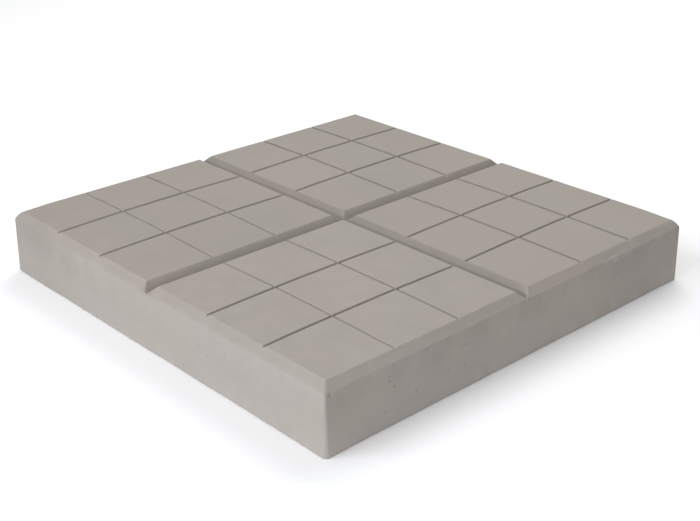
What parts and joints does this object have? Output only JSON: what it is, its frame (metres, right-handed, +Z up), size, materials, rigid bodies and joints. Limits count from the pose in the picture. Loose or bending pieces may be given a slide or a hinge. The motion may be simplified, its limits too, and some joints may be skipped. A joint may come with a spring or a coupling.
{
  "type": "concrete paving slab",
  "caption": "Square cast concrete paving slab with bevelled edges, a wide cross groove and a grid of thin joints on its face, for paths, patios and yards.",
  "frame": {"origin": "centre of the underside, where the slab rests on its bed", "axes": "+Z up through the grooved face; +X and +Y along the sides, which are alike"},
  "size_m": [0.5, 0.5, 0.07],
  "materials": {
    "concrete": "satin-smooth cast concrete, warm grey, with small pores and slightly paler edges"
  },
  "bodies": {
    "root": {"slab": "concrete"}
  },
  "joints": []
}
